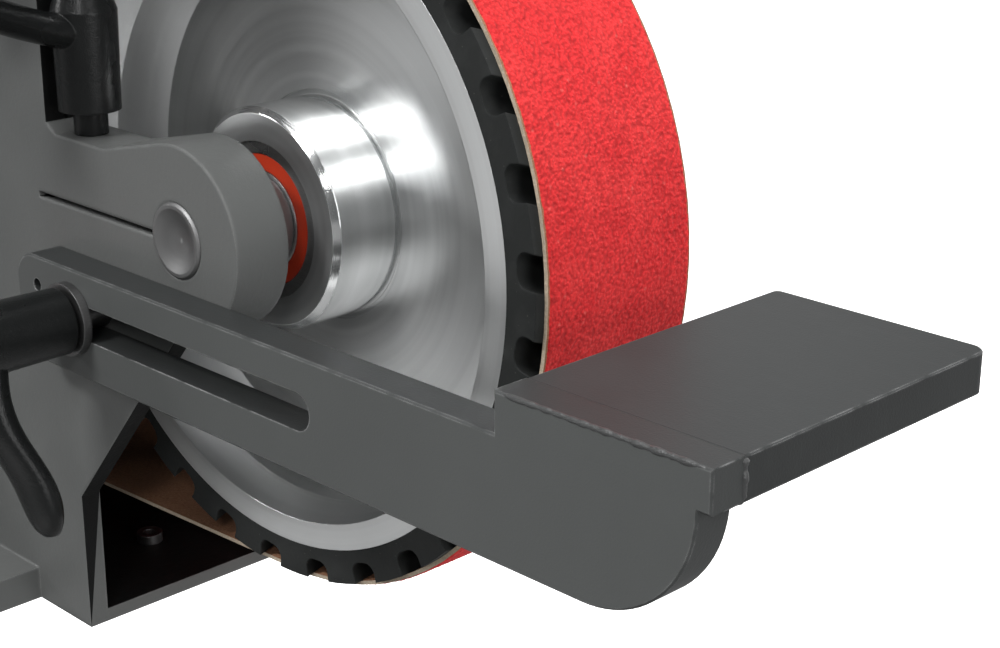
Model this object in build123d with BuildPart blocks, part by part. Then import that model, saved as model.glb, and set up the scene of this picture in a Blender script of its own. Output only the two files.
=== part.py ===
from build123d import *
import math
import os

os.makedirs("parts", exist_ok=True)

# ---------------------------------------------------------------------------
# Driving dimensions (mm). X points to the operator, Y across the belt, Z up.
# The origin is the centre of the four floor anchors, on the floor.
# ---------------------------------------------------------------------------
GAP = 0.02                 # running or assembly gap on shafts and bores
wheel_x = 380.0            # contact wheel axis
axis_z = 1030.0
belt_y = 85.0              # middle plane of the belt

belt_width = 50.0
belt_thickness = 1.1
wheel_radius = 100.0       # contact wheel over the rubber
wheel_width = 50.0
wheel_y = belt_y - 3.0      # the belt overhangs the far edge of its wheel
drive_width = 56.0
rim_radius = 90.6          # aluminium hub under the rubber
dish_radius = 83.4
boss_radius = 30.0
web_depth = 21.0           # how far the web lies behind the wheel's face
groove_count = 30          # serrations in the rubber
groove_depth = 6.2
groove_width = 8.4

drive_x = wheel_x - 400.0  # drive wheel on the motor shaft
drive_z = axis_z - 42.0
drive_radius = 75.0
roller_x = wheel_x - 300.0  # tension roller
roller_z = axis_z + 193.6
roller_radius = 40.0
roller_width = 54.0
pivot_x = wheel_x - 190.0  # pivot of the tension arm
pivot_z = axis_z + 150.0
arm_length = math.hypot(roller_x - pivot_x, roller_z - pivot_z)
arm_slope = math.degrees(math.atan2(roller_z - pivot_z, roller_x - pivot_x))

wall_y = belt_y - 55.5     # outer face of the frame's side wall
wall = 6.0
sheet = 4.0
arm_thickness = 16.0       # forked arm that holds the wheel's axle
arm_radius = 25.0
door_y = belt_y + 47.0     # far edge of the housing, where the door closes
door_thickness = 3.0
floor_z = axis_z - 130.0
bed_thickness = 10.0
axle_radius = 10.0

rest_thickness = 10.0      # flat bar of the tool rest
rest_stud_radius = 4.0
rest_stud_x = wheel_x - 36.0
rest_stud_z = axis_z - 27.0
table_top_z = axis_z - 3.4
table_front_x = wheel_x + 183.0
table_inner_x = wheel_x + 124.3
clamp_x = wheel_x - 48.2   # clamping lever of the split arm
clamp_y = wall_y + arm_thickness / 2
clamp_stud_radius = 3.0

stand_x = 208.0
stand_y = 228.0
foot_x = 520.0
foot_y = 420.0
foot_thickness = 12.0
anchor_x = 440.0
anchor_y = 340.0
anchor_radius = 7.0

wheels = [
    (wheel_x, axis_z, wheel_radius),
    (drive_x, drive_z, drive_radius),
    (roller_x, roller_z, roller_radius),
]


def across(y):
    """Plane square to the belt's width at Y; it extrudes towards -Y."""
    return Plane.XZ.offset(-y)


def axial(x, z):
    """Plane through an axis along Y: local x runs along Y, local y is up."""
    return Plane(origin=(x, 0, z), x_dir=(0, 1, 0), z_dir=(1, 0, 0))


def shaft_axis(x, z):
    return Axis((x, 0, z), (0, 1, 0))


def save(builder, name):
    builder.part.label = name
    export_step(builder.part, f"parts/{name}.step")


# ---------------------------------------------------------------------------
# Frame: side wall with the split arm, housing band, floor and bed plate
# ---------------------------------------------------------------------------
front_x = wheel_x - 54.0
rear_x = wheel_x - 495.0
housing_outline = [
    (front_x, floor_z),
    (front_x, axis_z - 88),
    (wheel_x - 1, axis_z - arm_radius),
    (wheel_x, axis_z + arm_radius),
    (wheel_x - 6, axis_z + arm_radius - 0.7),
    (wheel_x - 31, axis_z + 18.4),
    (wheel_x - 54, axis_z + 18.4),
    (wheel_x - 58, axis_z + 21),
    (wheel_x - 58, axis_z + 160),
    (wheel_x - 326, axis_z + 275),
    (rear_x, axis_z - 8),
    (rear_x, floor_z),
]
band_outline = [
    (front_x, floor_z),
    (wheel_x - 58, axis_z + 160),
    (wheel_x - 326, axis_z + 275),
    (rear_x, axis_z - 8),
    (rear_x, floor_z),
]
band_depth = door_y - wall_y - wall
spigot_y = belt_y - 9.0
spigot_z = axis_z - 72.0
spigot_radius = 40.0
motor_bolt_circle = 50.0
motor_pilot_radius = 40.0
guard_pin_x = wheel_x - 62.0
guard_pin_z = axis_z + 171.0
chute_screw_places = [(wheel_x - 84, belt_y - 13.5), (wheel_x - 84, belt_y + 20)]
bed_bolt_places = [
    (wheel_x - 305, wall_y - 90),
    (wheel_x - 455, wall_y - 90),
    (wheel_x - 305, wall_y + 17.5),
    (wheel_x - 455, wall_y + 17.5),
]

with BuildPart() as frame_body:
    with BuildSketch(across(wall_y + wall)):
        with BuildLine():
            Polyline(*housing_outline, close=True)
        make_face()
        with Locations((wheel_x, axis_z)):
            Circle(arm_radius)
    extrude(amount=wall)
    with BuildSketch(across(door_y)):
        with BuildLine():
            Polyline(*band_outline, close=True)
        make_face()
    extrude(amount=band_depth)
    # round the roof and the rear corners before the housing is hollowed
    corners = frame_body.edges().filter_by(Axis.Y)
    fillet([e for e in corners if e.center().Z > axis_z + 240], radius=58)
    corners = frame_body.edges().filter_by(Axis.Y)
    fillet([e for e in corners if e.center().X < rear_x + 1], radius=30)
    with BuildSketch(across(door_y)):
        with BuildLine():
            Polyline(*band_outline, close=True)
        make_face()
        fillet(vertices().sort_by(Axis.Y)[-1], radius=58)
        fillet(vertices().group_by(Axis.X)[0], radius=30)
        offset(amount=-sheet, kind=Kind.INTERSECTION)
    extrude(amount=band_depth, mode=Mode.SUBTRACT)
    # the housing is open towards the contact wheel
    with BuildSketch(across(door_y)):
        with BuildLine():
            Polyline(
                (front_x + 1, floor_z + sheet),
                (front_x - 14, floor_z + sheet),
                (wheel_x - 72, axis_z + 160),
                (wheel_x - 40, axis_z + 146),
                close=True,
            )
        make_face()
    extrude(amount=band_depth, mode=Mode.SUBTRACT)
    with BuildSketch(across(wall_y + arm_thickness)):
        with Locations((wheel_x, axis_z)):
            Circle(arm_radius)
        with BuildLine():
            Polyline(
                (wheel_x, axis_z + arm_radius),
                (wheel_x - 6, axis_z + arm_radius - 0.7),
                (wheel_x - 31, axis_z + 18.4),
                (wheel_x - 54, axis_z + 18.4),
                (wheel_x - 58, axis_z + 21),
                (wheel_x - 130, axis_z + 21),
                (wheel_x - 130, axis_z - arm_radius),
                (wheel_x, axis_z - arm_radius),
                close=True,
            )
        make_face()
    extrude(amount=arm_thickness)
    # bed plate under the housing and the motor
    with BuildSketch(Plane.XY.offset(floor_z)):
        with BuildLine():
            Polyline(
                (wheel_x - 81, wall_y),
                (wheel_x - 81, wall_y - 120),
                (rear_x - 15, wall_y - 120),
                (rear_x - 15, door_y),
                (wheel_x - 250, door_y),
                (wheel_x - 250, wall_y),
                close=True,
            )
        make_face()
    extrude(amount=bed_thickness)
    # threaded boss behind the wall for the tool rest's stud
    with BuildSketch(across(wall_y + wall + 10)):
        with Locations((rest_stud_x, rest_stud_z)):
            Circle(14)
    extrude(amount=10)
    # bores: axle, tool-rest stud, motor pilot and screws, pivot, tracking slot
    with BuildSketch(across(wall_y + 40)):
        with Locations((wheel_x, axis_z)):
            Circle(axle_radius + GAP)
        with Locations((rest_stud_x, rest_stud_z)):
            Circle(rest_stud_radius + GAP)
        with Locations((drive_x, drive_z)):
            Circle(motor_pilot_radius + GAP)
            with PolarLocations(motor_bolt_circle, 4, start_angle=45):
                Circle(3.3)
        with Locations((pivot_x, pivot_z)):
            Circle(12 + GAP)
    extrude(amount=60, mode=Mode.SUBTRACT)
    slot_half = arm_length * math.sin(math.radians(6))
    with BuildSketch(across(wall_y + wall + 1)):
        with Locations(Location((roller_x - 4.2, roller_z - slot_half, 0), 67)):
            SlotOverall(2 * slot_half + 26, 22)
    extrude(amount=wall + 2, mode=Mode.SUBTRACT)
    # slit of the split arm, and the bore for its clamping stud
    with BuildSketch(across(wall_y + arm_thickness)):
        with Locations((wheel_x - 36, axis_z)):
            Rectangle(56, 1.6)
    extrude(amount=arm_thickness, mode=Mode.SUBTRACT)
    with BuildSketch(Plane.XY.offset(axis_z - 18)):
        with Locations((clamp_x, clamp_y)):
            Circle(clamp_stud_radius + GAP)
    extrude(amount=40, mode=Mode.SUBTRACT)
    # dust outlet in the rear, chute screw holes, bed bolt holes
    with BuildSketch(Plane.YZ.offset(rear_x - 1)):
        with Locations((spigot_y, spigot_z)):
            Circle(spigot_radius - 2)
            with GridLocations(76, 76, 2, 2):
                Circle(2.4 + GAP)
    extrude(amount=sheet + 2, mode=Mode.SUBTRACT)
    with BuildSketch(Plane.XY.offset(floor_z - 1)):
        with Locations(*bed_bolt_places):
            Circle(5.5)
        with Locations(*chute_screw_places):
            Circle(2 + GAP)
    extrude(amount=bed_thickness + 2, mode=Mode.SUBTRACT)
    # two knuckles on the roof's front edge carry the top guard's pin
    for knuckle_y in (wall_y + 22, door_y - 10):
        with BuildSketch(across(knuckle_y)):
            with Locations((guard_pin_x, guard_pin_z)):
                Circle(6)
            with Locations((guard_pin_x - 2, guard_pin_z - 7.5)):
                Rectangle(8, 11)
            with Locations((guard_pin_x, guard_pin_z)):
                Circle(2.5 + GAP, mode=Mode.SUBTRACT)
        extrude(amount=12)
save(frame_body, "frame_body")

# ---------------------------------------------------------------------------
# Housing: door with hinges, posts and knobs, top guard, dust spigot, screws
# ---------------------------------------------------------------------------
hinge_x = rear_x - 4.0
hinge_y = door_y + door_thickness + 3.0
hinge_heights = [floor_z + 36, floor_z + 92]
post_places = [(wheel_x - 160, axis_z + 62), (wheel_x - 310, axis_z + 46)]

with BuildPart() as belt_door:
    with BuildSketch(across(door_y + door_thickness + 0.3)):
        with BuildLine():
            Polyline(*band_outline, close=True)
        make_face()
        fillet(vertices().sort_by(Axis.Y)[-1], radius=58)
        fillet(vertices().group_by(Axis.X)[0], radius=30)
        with Locations(*post_places):
            Circle(6, mode=Mode.SUBTRACT)
    extrude(amount=door_thickness)
    # two hinge leaves wrap round the pins behind the rear edge
    for height in hinge_heights:
        with BuildSketch(Plane.XY.offset(height)):
            with Locations((hinge_x, hinge_y + 0.3)):
                Circle(5.5)
            with Locations((hinge_x + 9, door_y + door_thickness + 1.8)):
                Rectangle(18, 3)
            with Locations((hinge_x, hinge_y + 0.3)):
                Circle(3 + GAP, mode=Mode.SUBTRACT)
        extrude(amount=18)
    # the rear edge is notched round the brackets' knuckles
    for height in hinge_heights:
        with BuildSketch(Plane.XY.offset(height - 19)):
            with Locations((hinge_x, hinge_y + 0.3)):
                Circle(6.2)
        extrude(amount=19, mode=Mode.SUBTRACT)
save(belt_door, "belt_door")

with BuildPart() as hinge_pins:
    for height in hinge_heights:
        with BuildSketch(Plane.XY.offset(height - 18.5)):
            with Locations((hinge_x, hinge_y + 0.3)):
                Circle(3)
        extrude(amount=37)
save(hinge_pins, "hinge_pins")

with BuildPart() as hinge_brackets:
    for height in hinge_heights:
        with BuildSketch(Plane.XY.offset(height - 18.5)):
            with Locations((hinge_x, hinge_y + 0.3)):
                Circle(5.5)
            with Locations((rear_x - 4.5, hinge_y - 9)):
                Rectangle(9, 12)
            with Locations((hinge_x, hinge_y + 0.3)):
                Circle(3 + GAP, mode=Mode.SUBTRACT)
            with Locations((rear_x + 5, hinge_y)):
                Rectangle(10, 40, mode=Mode.SUBTRACT)
        extrude(amount=18)
save(hinge_brackets, "hinge_brackets")

with BuildPart() as door_posts:
    with BuildSketch(across(door_y - 0.2)):
        with Locations(*post_places):
            Circle(8)
    extrude(amount=door_y - 0.2 - wall_y - wall)
    with BuildSketch(across(door_y)):
        with Locations(*post_places):
            Circle(5)
    extrude(amount=16, mode=Mode.SUBTRACT)
save(door_posts, "door_posts")

knob_face = door_y + door_thickness + 0.5


def star_knob(x, y, z, outward, stem, radius=18):
    """Six-lobed knob on a stem; outward is +1 or -1 along Y."""
    face = Plane(origin=(x, y, z), x_dir=(1, 0, 0), z_dir=(0, outward, 0))
    with BuildPart() as knob:
        with BuildSketch(face):
            Circle(radius / 2)
        extrude(amount=3)
        with BuildSketch(face.offset(3)):
            Circle(radius)
            with PolarLocations(radius * 1.08, 6):
                Circle(radius * 0.29, mode=Mode.SUBTRACT)
        extrude(amount=16)
        crown = knob.faces().filter_by(Axis.Y).sort_by(Axis.Y)[-1 if outward > 0 else 0]
        fillet(crown.edges(), radius=2)
        with BuildSketch(face.offset(-stem)):
            Circle(4.5)
        extrude(amount=stem)
    return knob


for name, (post_x, post_z) in zip(("door_knob_front", "door_knob_rear"), post_places):
    save(star_knob(post_x, knob_face, post_z, 1, 14), name)

guard_near_y = wall_y + 2.0
guard_far_y = door_y + 2.0
guard_front = (wheel_x + 66, axis_z + 92)
with BuildPart() as top_guard:
    with BuildSketch(across(guard_far_y)):
        with BuildLine():
            Polyline(
                (wheel_x - 54, axis_z + 165),
                (wheel_x - 54, axis_z + 161),
                (wheel_x + 40, axis_z + 120.8),
                (wheel_x + 40, axis_z + 123.8),
                close=True,
            )
        make_face()
        with BuildLine():
            ThreePointArc(
                (wheel_x + 39, axis_z + 121.2),
                (wheel_x + 56, axis_z + 109),
                guard_front,
            )
            Line(guard_front, (guard_front[0] + 2.2, guard_front[1] + 2))
            ThreePointArc(
                (guard_front[0] + 2.2, guard_front[1] + 2),
                (wheel_x + 58, axis_z + 111.4),
                (wheel_x + 39, axis_z + 124.2),
            )
            Line((wheel_x + 39, axis_z + 124.2), (wheel_x + 39, axis_z + 121.2))
        make_face()
    extrude(amount=guard_far_y - guard_near_y)
    # side cheeks stiffen the sheet and shield the strand
    for cheek_y in (guard_far_y, guard_near_y + 3):
        with BuildSketch(across(cheek_y)):
            with BuildLine():
                Polyline(
                    (wheel_x - 54, axis_z + 162),
                    (wheel_x - 54, axis_z + 140),
                    (wheel_x + 38, axis_z + 112),
                    (wheel_x + 60, axis_z + 97),
                    (wheel_x + 64, axis_z + 97),
                    (wheel_x + 40, axis_z + 122),
                    close=True,
                )
            make_face()
        extrude(amount=3)
    # two rolled eyes hang on the pin inside the frame's knuckles
    for eye_y in (wall_y + 34.5, door_y - 22.5):
        with BuildSketch(across(eye_y)):
            with Locations((guard_pin_x, guard_pin_z)):
                Circle(6)
            with BuildLine():
                Polyline(
                    (guard_pin_x + 3, guard_pin_z + 5),
                    (guard_pin_x + 16, guard_pin_z - 7.2),
                    (guard_pin_x + 16, guard_pin_z - 11.2),
                    (guard_pin_x + 5, guard_pin_z - 3),
                    close=True,
                )
            make_face()
            with Locations((guard_pin_x, guard_pin_z)):
                Circle(2.5 + GAP, mode=Mode.SUBTRACT)
        extrude(amount=12)
save(top_guard, "top_guard")

with BuildPart() as guard_pin:
    with BuildSketch(across(door_y - 8)):
        with Locations((guard_pin_x, guard_pin_z)):
            Circle(2.5)
    extrude(amount=door_y - wall_y - 16)
save(guard_pin, "guard_pin")

with BuildPart() as dust_spigot:
    spigot_plane = Plane.YZ.offset(rear_x - 0.1)
    with BuildSketch(spigot_plane.offset(-3)):
        with Locations((spigot_y, spigot_z)):
            RectangleRounded(92, 92, 8)
            with GridLocations(76, 76, 2, 2):
                Circle(2.6, mode=Mode.SUBTRACT)
    extrude(amount=3)
    with BuildSketch(spigot_plane.offset(-55)):
        with Locations((spigot_y, spigot_z)):
            Circle(spigot_radius)
    extrude(amount=53)
    fillet(dust_spigot.edges().filter_by(GeomType.CIRCLE).group_by(Axis.X)[0], radius=1)
    with BuildSketch(spigot_plane.offset(-56)):
        with Locations((spigot_y, spigot_z)):
            Circle(spigot_radius - 2)
    extrude(amount=57, mode=Mode.SUBTRACT)
save(dust_spigot, "dust_spigot")


def pan_screws(plane, places, head_radius, head_height, stem_radius, stem_length):
    """Group of separate pan-head screws with a hexagon recess."""
    with BuildPart() as screws:
        with BuildSketch(plane.offset(-stem_length)):
            with Locations(*places):
                Circle(stem_radius)
        extrude(amount=stem_length)
        with BuildSketch(plane):
            with Locations(*places):
                Circle(head_radius)
        extrude(amount=head_height)
        with BuildSketch(plane.offset(head_height * 0.45)):
            with Locations(*places):
                RegularPolygon(head_radius * 0.5, 6)
        extrude(amount=head_height, mode=Mode.SUBTRACT)
    return screws


spigot_face = Plane(origin=(rear_x - 3.1, spigot_y, spigot_z), x_dir=(0, 1, 0), z_dir=(-1, 0, 0))
spigot_screws = pan_screws(
    spigot_face, [(a, b) for a in (-38, 38) for b in (-38, 38)], 4.5, 3, 2.4, 6.5
)
chute_screws = pan_screws(Plane.XY.offset(floor_z + sheet), chute_screw_places, 4, 3, 2, sheet)
save(chute_screws, "chute_screws")

with BuildPart() as bed_bolts:
    with BuildSketch(Plane.XY.offset(floor_z - 14)):
        with Locations(*bed_bolt_places):
            Circle(5)
    extrude(amount=14 + bed_thickness)
    with BuildSketch(Plane.XY.offset(floor_z + bed_thickness)):
        with Locations(*bed_bolt_places):
            Circle(10)
    extrude(amount=2)
    with BuildSketch(Plane.XY.offset(floor_z + bed_thickness + 2)):
        with Locations(*bed_bolt_places):
            RegularPolygon(9.2, 6)
    extrude(amount=6.4)
save(bed_bolts, "bed_bolts")

# ---------------------------------------------------------------------------
# Contact wheel: dished aluminium hub, serrated rubber, sealed bearings, axle
# ---------------------------------------------------------------------------
bearing_radius = 21.0
bearing_width = 12.0
bearing_inset = 0.6
half = wheel_width / 2
with BuildPart() as wheel_hub:
    with BuildSketch(axial(wheel_x, 0)):
        with BuildLine():
            Polyline(
                (wheel_y - half, axis_z + rim_radius),
                (wheel_y - half, axis_z + dish_radius),
                (wheel_y - half + 9, axis_z + dish_radius - 4),
                (wheel_y - half + web_depth, axis_z + dish_radius - 12),
                (wheel_y - half + web_depth, axis_z + boss_radius + 1.5),
                (wheel_y - half + web_depth + 1, axis_z + boss_radius + 1.5),
                (wheel_y - half + web_depth + 1, axis_z + boss_radius),
                (wheel_y - half, axis_z + boss_radius),
                (wheel_y - half, axis_z + bearing_radius + GAP),
                (wheel_y - half + bearing_inset + bearing_width, axis_z + bearing_radius + GAP),
                (wheel_y - half + bearing_inset + bearing_width, axis_z + 17),
                (wheel_y, axis_z + 17),
                (wheel_y, axis_z + rim_radius),
                close=True,
            )
        make_face()
        mirror(about=Plane(origin=(wheel_y, 0, 0), z_dir=(1, 0, 0)))
    revolve(axis=shaft_axis(wheel_x, axis_z))
    rims = wheel_hub.edges().filter_by(GeomType.CIRCLE)
    boss_rims = [e for e in rims if abs(e.radius - boss_radius) < 0.01]
    chamfer([e for e in boss_rims if abs(abs(e.center().Y - wheel_y) - half) < 0.01], length=1.6)
save(wheel_hub, "wheel_hub")

with BuildPart() as groove_built:
    Box(20, groove_width, wheel_width * 2)
    fillet(groove_built.edges().filter_by(Axis.Z).group_by(Axis.X)[0], radius=groove_width * 0.36)
groove_tool = groove_built.part

with BuildPart() as wheel_tyre:
    with BuildSketch(across(wheel_y + half)):
        with Locations((wheel_x, axis_z)):
            Circle(wheel_radius)
            Circle(rim_radius + GAP, mode=Mode.SUBTRACT)
    extrude(amount=wheel_width)
    groove_plane = Plane(origin=(wheel_x, wheel_y, axis_z), x_dir=(1, 0, 0), z_dir=(0, 1, 0))
    with Locations(groove_plane):
        with PolarLocations(wheel_radius - groove_depth + 10, groove_count, start_angle=0.8):
            add(groove_tool, rotation=(-20, 0, 0), mode=Mode.SUBTRACT)
save(wheel_tyre, "wheel_tyre")

bearing_starts = [wheel_y - half + bearing_inset, wheel_y + half - bearing_inset - bearing_width]


def bearing_pair(x, z, starts, width, outer, inner, name):
    """Two sealed ball bearings: outer rings, inner rings and seals as groups."""
    middle = (outer + inner) / 2
    rings = (
        (f"{name}_outer_rings", outer, middle + 2.2, 0, width),
        (f"{name}_inner_rings", middle - 2.4, inner, 0, width),
        (f"{name}_seals", middle + 2.1, middle - 2.2, 0.2, width - 0.4),
    )
    for ring_name, ring_outer, ring_inner, inset, ring_width in rings:
        with BuildPart() as rings_built:
            for start in starts:
                with BuildSketch(across(start + inset + ring_width)):
                    with Locations((x, z)):
                        Circle(ring_outer)
                        Circle(ring_inner, mode=Mode.SUBTRACT)
                extrude(amount=ring_width)
        save(rings_built, ring_name)


bearing_pair(
    wheel_x, axis_z, bearing_starts, bearing_width, bearing_radius, axle_radius + GAP, "wheel_bearing"
)

axle_end_y = wall_y - 0.8
dish_reach = axle_radius - 1.5
dish_curve = 19.0


def dish_depth(radius):
    return math.sqrt(dish_curve**2 - radius**2) - math.sqrt(dish_curve**2 - dish_reach**2)


with BuildPart() as wheel_axle:
    # the near end stands just proud of the arm and has a shallow dish turned in it
    axle_far_y = wheel_y + half - 1
    with BuildSketch(across(axle_far_y)):
        with Locations((wheel_x, axis_z)):
            Circle(axle_radius)
    extrude(amount=axle_far_y - axle_end_y)
    chamfer(wheel_axle.edges().sort_by(Axis.Y)[0], length=0.6)
    with BuildSketch(axial(wheel_x, 0)):
        with BuildLine():
            Polyline(
                (axle_end_y + dish_depth(0), axis_z),
                (axle_end_y - 1, axis_z),
                (axle_end_y - 1, axis_z + dish_reach),
                (axle_end_y, axis_z + dish_reach),
            )
            ThreePointArc(
                (axle_end_y, axis_z + dish_reach),
                (axle_end_y + dish_depth(dish_reach / 2), axis_z + dish_reach / 2),
                (axle_end_y + dish_depth(0), axis_z),
            )
        make_face()
    revolve(axis=shaft_axis(wheel_x, axis_z), mode=Mode.SUBTRACT)
save(wheel_axle, "wheel_axle")

with BuildPart() as axle_sleeve:
    with BuildSketch(across(bearing_starts[0] - 0.1)):
        with Locations((wheel_x, axis_z)):
            Circle(12.2)
            Circle(axle_radius + GAP, mode=Mode.SUBTRACT)
    extrude(amount=bearing_starts[0] - 0.1 - wall_y - arm_thickness - 0.1)
save(axle_sleeve, "axle_sleeve")

with BuildPart() as axle_end_screw:
    with BuildSketch(across(wheel_y + half + 2.5)):
        with Locations((wheel_x, axis_z)):
            Circle(12)
    extrude(amount=3)
    with BuildSketch(across(wheel_y + half + 8.5)):
        with Locations((wheel_x, axis_z)):
            Circle(6.5)
            RegularPolygon(3.4, 6, mode=Mode.SUBTRACT)
    extrude(amount=6)
save(axle_end_screw, "axle_end_screw")

# ---------------------------------------------------------------------------
# Belt around the three wheels
# ---------------------------------------------------------------------------
with BuildPart() as abrasive_belt:
    with BuildSketch(across(belt_y + belt_width / 2)):
        for x, z, radius in wheels:
            with Locations((x, z)):
                Circle(radius + belt_thickness + 2 * GAP)
        make_hull()
    extrude(amount=belt_width)
    with BuildSketch(across(belt_y + belt_width / 2)):
        for x, z, radius in wheels:
            with Locations((x, z)):
                Circle(radius + 2 * GAP)
        make_hull()
    extrude(amount=belt_width, mode=Mode.SUBTRACT)
save(abrasive_belt, "abrasive_belt")

# ---------------------------------------------------------------------------
# Tension unit: pivoted arm, outside handle, spring, crowned tracking roller
# ---------------------------------------------------------------------------
arm_near = wall_y + wall + 3.0
arm_far = arm_near + 8.0
handle_near = wall_y - 30.0
with BuildPart() as pivot_shaft:
    with BuildSketch(across(arm_far + 14)):
        with Locations((pivot_x, pivot_z)):
            Circle(8)
    extrude(amount=arm_far + 14 - handle_near - 1)
save(pivot_shaft, "pivot_shaft")

with BuildPart() as pivot_bush:
    with BuildSketch(across(arm_near - 0.4)):
        with Locations((pivot_x, pivot_z)):
            Circle(12)
            Circle(8 + GAP, mode=Mode.SUBTRACT)
    extrude(amount=arm_near - 0.4 - wall_y + 2)
    with BuildSketch(across(wall_y - 0.05)):
        with Locations((pivot_x, pivot_z)):
            Circle(17)
            Circle(12 - GAP, mode=Mode.SUBTRACT)
    extrude(amount=1.95)
save(pivot_bush, "pivot_bush")

with BuildPart() as tension_arm:
    with BuildSketch(across(arm_far)):
        with Locations(Location(((pivot_x + roller_x) / 2, (pivot_z + roller_z) / 2, 0), arm_slope)):
            SlotCenterToCenter(arm_length, 36)
        with Locations((pivot_x, pivot_z)):
            Circle(8 + GAP, mode=Mode.SUBTRACT)
        with Locations((roller_x, roller_z)):
            Circle(7.5 + GAP, mode=Mode.SUBTRACT)
    extrude(amount=8)
    with BuildSketch(across(arm_far + 7)):
        with Locations(Location(((pivot_x + roller_x) / 2, (pivot_z + roller_z) / 2, 0), arm_slope)):
            with Locations((-38, 0)):
                Circle(4)
    extrude(amount=7)
save(tension_arm, "tension_arm")

with BuildPart() as tension_spring:
    coil = Wire([Edge.make_helix(
        pitch=3.6,
        height=10.8,
        radius=12,
        center=(pivot_x, arm_far + 1.8, pivot_z),
        normal=(0, 1, 0),
    )])
    with BuildSketch(Plane(origin=coil @ 0, z_dir=coil % 0)):
        Circle(1.4)
    sweep(path=coil, is_frenet=True)
save(tension_spring, "tension_spring")

with BuildPart() as roller_axle:
    with BuildSketch(across(belt_y + roller_width / 2 - 2)):
        with Locations((roller_x, roller_z)):
            Circle(7.5)
    extrude(amount=belt_y + roller_width / 2 - 2 - wall_y + 2)
    with BuildSketch(across(belt_y + roller_width / 2 + 0.5)):
        with Locations((roller_x, roller_z)):
            Circle(10)
    extrude(amount=2.5)
save(roller_axle, "roller_axle")

roller_bearing_starts = [belt_y - roller_width / 2 + 1, belt_y + roller_width / 2 - 12]
with BuildPart() as tension_roller:
    with BuildSketch(axial(roller_x, 0)):
        with BuildLine():
            edge_y = belt_y - roller_width / 2
            Line((edge_y, roller_z + 16 + GAP), (edge_y, roller_z + roller_radius - 0.6))
            ThreePointArc(
                (edge_y, roller_z + roller_radius - 0.6),
                (belt_y, roller_z + roller_radius),
                (edge_y + roller_width, roller_z + roller_radius - 0.6),
            )
            Polyline(
                (edge_y + roller_width, roller_z + roller_radius - 0.6),
                (edge_y + roller_width, roller_z + 16 + GAP),
                (edge_y + roller_width - 12.2, roller_z + 16 + GAP),
                (edge_y + roller_width - 12.2, roller_z + 12),
                (edge_y + 10.2, roller_z + 12),
                (edge_y + 10.2, roller_z + 16 + GAP),
                (edge_y, roller_z + 16 + GAP),
            )
        make_face()
    revolve(axis=shaft_axis(roller_x, roller_z))
save(tension_roller, "tension_roller")
bearing_pair(roller_x, roller_z, roller_bearing_starts, 9, 16, 7.5 + GAP, "roller_bearing")

# hand lever outside the wall, clamped on the pivot shaft
handle_angle = math.radians(-28)
with BuildPart() as tension_handle:
    with BuildSketch(across(wall_y - 2.4)):
        with Locations((pivot_x, pivot_z)):
            Circle(15)
            Circle(8 + GAP, mode=Mode.SUBTRACT)
    extrude(amount=wall_y - 2.4 - handle_near)
    grip_start = Plane(
        origin=(pivot_x, handle_near + 7, pivot_z),
        x_dir=(0, 1, 0),
        z_dir=(math.cos(handle_angle), 0, math.sin(handle_angle)),
    )
    with BuildSketch(grip_start.offset(12)):
        Circle(5)
    extrude(amount=106)
save(tension_handle, "tension_handle")

with BuildPart() as tension_ball:
    with BuildSketch(grip_start.offset(118.1)):
        Circle(8)
    extrude(amount=6)
    with Locations(grip_start.offset(134)):
        Sphere(16)
save(tension_ball, "tension_ball")

tracking_knob = star_knob(roller_x, wall_y - 2.5, roller_z, -1, 0.4, 20)
save(tracking_knob, "tracking_knob")

# ---------------------------------------------------------------------------
# Drive: motor on the outside of the wall, rubber-faced wheel inside
# ---------------------------------------------------------------------------
motor_radius = 68.0
fin_radius = 75.0
motor_start = wall_y - 24.0
motor_length = 150.0
cowl_start = motor_start - motor_length
shaft_radius = 9.5
with BuildPart() as motor_flange:
    with BuildSketch(across(wall_y + 3)):
        with Locations((drive_x, drive_z)):
            Circle(motor_pilot_radius)
    extrude(amount=3)
    with BuildSketch(across(wall_y)):
        with Locations((drive_x, drive_z)):
            Circle(60)
    extrude(amount=10)
    with BuildSketch(across(wall_y - 10)):
        with Locations((drive_x, drive_z)):
            Circle(fin_radius - 1)
    extrude(amount=14)
    chamfer(motor_flange.edges().filter_by(GeomType.CIRCLE).group_by(SortBy.RADIUS)[-1], length=3)
    with BuildSketch(across(wall_y + 3)):
        with Locations((drive_x, drive_z)):
            Circle(shaft_radius + 0.1)
    extrude(amount=27, mode=Mode.SUBTRACT)
    with BuildSketch(across(wall_y)):
        with Locations((drive_x, drive_z)):
            with PolarLocations(motor_bolt_circle, 4, start_angle=45):
                Circle(3 + GAP)
    extrude(amount=9, mode=Mode.SUBTRACT)
save(motor_flange, "motor_flange")

with BuildPart() as motor_body:
    with BuildSketch(across(motor_start)):
        with Locations((drive_x, drive_z)):
            Circle(motor_radius)
            with PolarLocations(motor_radius + 3, 36):
                Rectangle(8, 2.2)
            Circle(motor_radius - 6, mode=Mode.SUBTRACT)
    extrude(amount=motor_length)
    with BuildSketch(Plane.XY.offset(drive_z + motor_radius - 2)):
        with Locations((drive_x, motor_start - 60)):
            Rectangle(84, 84)
    extrude(amount=14)
save(motor_body, "motor_body")

with BuildPart() as motor_rotor:
    with BuildSketch(across(motor_start - 12)):
        with Locations((drive_x, drive_z)):
            Circle(48)
    extrude(amount=110)
    with BuildSketch(across(belt_y + 20)):
        with Locations((drive_x, drive_z)):
            Circle(shaft_radius)
    extrude(amount=belt_y + 20 - cowl_start + 34)
save(motor_rotor, "motor_rotor")

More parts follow.
